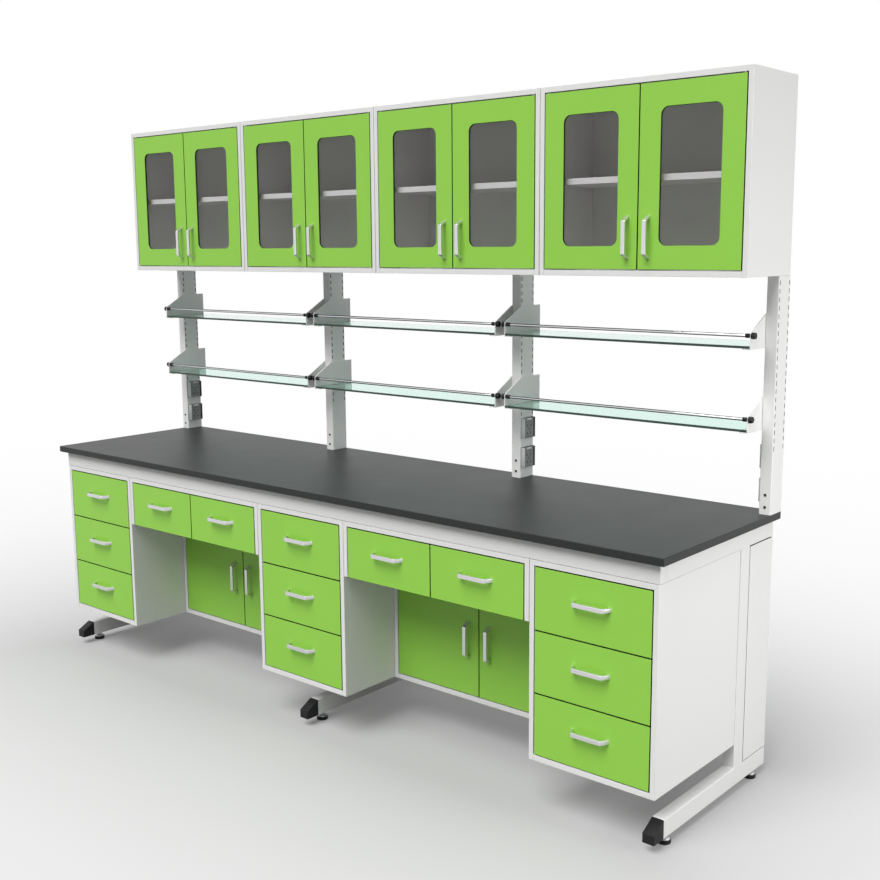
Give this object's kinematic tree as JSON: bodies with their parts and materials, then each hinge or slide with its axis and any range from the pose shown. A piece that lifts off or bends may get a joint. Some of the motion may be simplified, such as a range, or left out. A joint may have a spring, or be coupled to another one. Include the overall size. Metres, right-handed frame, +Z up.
{
  "type": "laboratory bench with reagent shelf",
  "caption": "Long laboratory bench with hung drawer pedestals, kneeholes with set-back cupboards, a slotted reagent rack with glass shelves and glazed overhead cabinets.",
  "frame": {"origin": "on the floor, under the middle of the overall box", "axes": "+X along the bench to the right of someone working at it, +Y towards the wall behind, +Z up"},
  "size_m": [3, 0.788, 2.26],
  "materials": {
    "worktop": "fine matt laminate",
    "frame_paint": "fine-textured powder coat",
    "carcass_board": "pale melamine-faced board",
    "green_front": "satin light green laminate",
    "post_paint": "fine-textured powder coat",
    "shelf_glass": "clear float glass, green at the edges",
    "door_glass": "clear glass"
  },
  "bodies": {
    "bench": {"worktop": "worktop", "steel_frame": "frame_paint", "pedestal_left_carcass": "carcass_board", "pedestal_middle_carcass": "carcass_board", "pedestal_right_carcass": "carcass_board", "knee_left_carcass": "carcass_board", "knee_right_carcass": "carcass_board", "cabinet_1_carcass": "carcass_board", "cabinet_2_carcass": "carcass_board", "cabinet_3_carcass": "carcass_board", "cabinet_4_carcass": "carcass_board", "post_1": "post_paint", "post_2": "post_paint", "post_3": "post_paint", "post_4": "post_paint", "cradle_lower_1": "post_paint", "shelf_glass_lower_1": "shelf_glass", "cradle_upper_1": "post_paint", "shelf_glass_upper_1": "shelf_glass", "cradle_lower_2": "post_paint", "shelf_glass_lower_2": "shelf_glass", "cradle_upper_2": "post_paint", "shelf_glass_upper_2": "shelf_glass", "cradle_lower_3": "post_paint", "shelf_glass_lower_3": "shelf_glass", "cradle_upper_3": "post_paint", "shelf_glass_upper_3": "shelf_glass"},
    "pedestal_left_drawer_1": {"pedestal_left_drawer_1": "green_front"},
    "pedestal_left_drawer_2": {"pedestal_left_drawer_2": "green_front"},
    "pedestal_left_drawer_3": {"pedestal_left_drawer_3": "green_front"},
    "pedestal_middle_drawer_1": {"pedestal_middle_drawer_1": "green_front"},
    "pedestal_middle_drawer_2": {"pedestal_middle_drawer_2": "green_front"},
    "pedestal_middle_drawer_3": {"pedestal_middle_drawer_3": "green_front"},
    "pedestal_right_drawer_1": {"pedestal_right_drawer_1": "green_front"},
    "pedestal_right_drawer_2": {"pedestal_right_drawer_2": "green_front"},
    "pedestal_right_drawer_3": {"pedestal_right_drawer_3": "green_front"},
    "knee_left_drawer_left": {"knee_left_drawer_left": "green_front"},
    "knee_left_drawer_right": {"knee_left_drawer_right": "green_front"},
    "knee_left_door_left": {"knee_left_door_left": "green_front"},
    "knee_left_door_right": {"knee_left_door_right": "green_front"},
    "knee_right_drawer_left": {"knee_right_drawer_left": "green_front"},
    "knee_right_drawer_right": {"knee_right_drawer_right": "green_front"},
    "knee_right_door_left": {"knee_right_door_left": "green_front"},
    "knee_right_door_right": {"knee_right_door_right": "green_front"},
    "cabinet_1_door_left": {"cabinet_1_door_left": "green_front", "cabinet_1_pane_left": "door_glass"},
    "cabinet_1_door_right": {"cabinet_1_door_right": "green_front", "cabinet_1_pane_right": "door_glass"},
    "cabinet_2_door_left": {"cabinet_2_door_left": "green_front", "cabinet_2_pane_left": "door_glass"},
    "cabinet_2_door_right": {"cabinet_2_door_right": "green_front", "cabinet_2_pane_right": "door_glass"},
    "cabinet_3_door_left": {"cabinet_3_door_left": "green_front", "cabinet_3_pane_left": "door_glass"},
    "cabinet_3_door_right": {"cabinet_3_door_right": "green_front", "cabinet_3_pane_right": "door_glass"},
    "cabinet_4_door_left": {"cabinet_4_door_left": "green_front", "cabinet_4_pane_left": "door_glass"},
    "cabinet_4_door_right": {"cabinet_4_door_right": "green_front", "cabinet_4_pane_right": "door_glass"}
  },
  "joints": [
    {"name": "pedestal_left_drawer_1_slide", "type": "slide", "parent": "bench", "child": "pedestal_left_drawer_1", "axis": [0, -1, 0], "range_m": [0, 0.36]},
    {"name": "pedestal_left_drawer_2_slide", "type": "slide", "parent": "bench", "child": "pedestal_left_drawer_2", "axis": [0, -1, 0], "range_m": [0, 0.36]},
    {"name": "pedestal_left_drawer_3_slide", "type": "slide", "parent": "bench", "child": "pedestal_left_drawer_3", "axis": [0, -1, 0], "range_m": [0, 0.36]},
    {"name": "pedestal_middle_drawer_1_slide", "type": "slide", "parent": "bench", "child": "pedestal_middle_drawer_1", "axis": [0, -1, 0], "range_m": [0, 0.36]},
    {"name": "pedestal_middle_drawer_2_slide", "type": "slide", "parent": "bench", "child": "pedestal_middle_drawer_2", "axis": [0, -1, 0], "range_m": [0, 0.36]},
    {"name": "pedestal_middle_drawer_3_slide", "type": "slide", "parent": "bench", "child": "pedestal_middle_drawer_3", "axis": [0, -1, 0], "range_m": [0, 0.36]},
    {"name": "pedestal_right_drawer_1_slide", "type": "slide", "parent": "bench", "child": "pedestal_right_drawer_1", "axis": [0, -1, 0], "range_m": [0, 0.36]},
    {"name": "pedestal_right_drawer_2_slide", "type": "slide", "parent": "bench", "child": "pedestal_right_drawer_2", "axis": [0, -1, 0], "range_m": [0, 0.36]},
    {"name": "pedestal_right_drawer_3_slide", "type": "slide", "parent": "bench", "child": "pedestal_right_drawer_3", "axis": [0, -1, 0], "range_m": [0, 0.36]},
    {"name": "knee_left_drawer_left_slide", "type": "slide", "parent": "bench", "child": "knee_left_drawer_left", "axis": [0, -1, 0], "range_m": [0, 0.36]},
    {"name": "knee_left_drawer_right_slide", "type": "slide", "parent": "bench", "child": "knee_left_drawer_right", "axis": [0, -1, 0], "range_m": [0, 0.36]},
    {"name": "knee_left_door_left_hinge", "type": "hinge", "parent": "bench", "child": "knee_left_door_left", "pos_m": [-0.99485, -0.104, 0.392], "axis": [0, 0, -1], "range_deg": [0, 90]},
    {"name": "knee_left_door_right_hinge", "type": "hinge", "parent": "bench", "child": "knee_left_door_right", "pos_m": [-0.25515, -0.104, 0.392], "axis": [0, 0, 1], "range_deg": [0, 90]},
    {"name": "knee_right_drawer_left_slide", "type": "slide", "parent": "bench", "child": "knee_right_drawer_left", "axis": [0, -1, 0], "range_m": [0, 0.36]},
    {"name": "knee_right_drawer_right_slide", "type": "slide", "parent": "bench", "child": "knee_right_drawer_right", "axis": [0, -1, 0], "range_m": [0, 0.36]},
    {"name": "knee_right_door_left_hinge", "type": "hinge", "parent": "bench", "child": "knee_right_door_left", "pos_m": [0.25515, -0.104, 0.392], "axis": [0, 0, -1], "range_deg": [0, 90]},
    {"name": "knee_right_door_right_hinge", "type": "hinge", "parent": "bench", "child": "knee_right_door_right", "pos_m": [0.99485, -0.104, 0.392], "axis": [0, 0, 1], "range_deg": [0, 90]},
    {"name": "cabinet_1_door_left_hinge", "type": "hinge", "parent": "bench", "child": "cabinet_1_door_left", "pos_m": [-1.46985, 0.065, 1.9575], "axis": [0, 0, -1], "range_deg": [0, 85]},
    {"name": "cabinet_1_door_right_hinge", "type": "hinge", "parent": "bench", "child": "cabinet_1_door_right", "pos_m": [-0.78015, 0.065, 1.9575], "axis": [0, 0, 1], "range_deg": [0, 85]},
    {"name": "cabinet_2_door_left_hinge", "type": "hinge", "parent": "bench", "child": "cabinet_2_door_left", "pos_m": [-0.71985, 0.065, 1.9575], "axis": [0, 0, -1], "range_deg": [0, 85]},
    {"name": "cabinet_2_door_right_hinge", "type": "hinge", "parent": "bench", "child": "cabinet_2_door_right", "pos_m": [-0.03015, 0.065, 1.9575], "axis": [0, 0, 1], "range_deg": [0, 85]},
    {"name": "cabinet_3_door_left_hinge", "type": "hinge", "parent": "bench", "child": "cabinet_3_door_left", "pos_m": [0.03015, 0.065, 1.9575], "axis": [0, 0, -1], "range_deg": [0, 85]},
    {"name": "cabinet_3_door_right_hinge", "type": "hinge", "parent": "bench", "child": "cabinet_3_door_right", "pos_m": [0.71985, 0.065, 1.9575], "axis": [0, 0, 1], "range_deg": [0, 85]},
    {"name": "cabinet_4_door_left_hinge", "type": "hinge", "parent": "bench", "child": "cabinet_4_door_left", "pos_m": [0.78015, 0.065, 1.9575], "axis": [0, 0, -1], "range_deg": [0, 85]},
    {"name": "cabinet_4_door_right_hinge", "type": "hinge", "parent": "bench", "child": "cabinet_4_door_right", "pos_m": [1.46985, 0.065, 1.9575], "axis": [0, 0, 1], "range_deg": [0, 85]}
  ]
}
